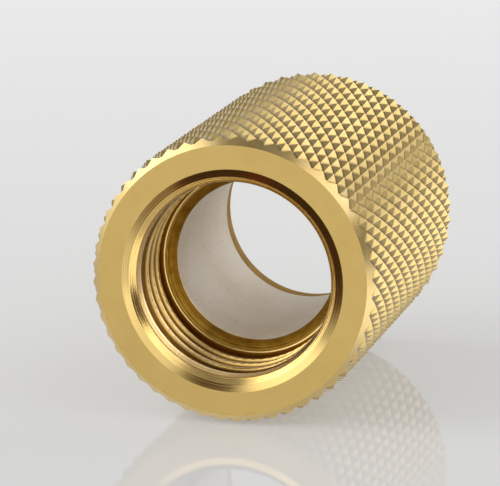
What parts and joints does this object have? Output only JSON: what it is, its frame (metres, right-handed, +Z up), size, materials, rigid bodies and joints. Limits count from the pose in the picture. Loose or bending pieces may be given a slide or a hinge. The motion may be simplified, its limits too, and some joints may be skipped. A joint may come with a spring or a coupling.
{
  "type": "knurled threaded sleeve",
  "caption": "Diamond-knurled round sleeve with an internal metric thread at one end, a conical seat ring and a grey tube liner in its through bore.",
  "frame": {"origin": "on the ground under the middle of the sleeve, which lies on its side", "axes": "+Y along the bore axis from the threaded end to the plain end, +X across the sleeve, +Z up"},
  "size_m": [0.022, 0.0312, 0.022],
  "materials": {
    "sleeve_brass": "turned and knurled, satin face, polished bevel",
    "liner_metal": "dull grey with fine dark specks",
    "seat_brass": "fine turned"
  },
  "bodies": {
    "root": {"knurled_sleeve": "sleeve_brass", "bore_liner": "liner_metal", "seat_ring": "seat_brass"}
  },
  "joints": []
}
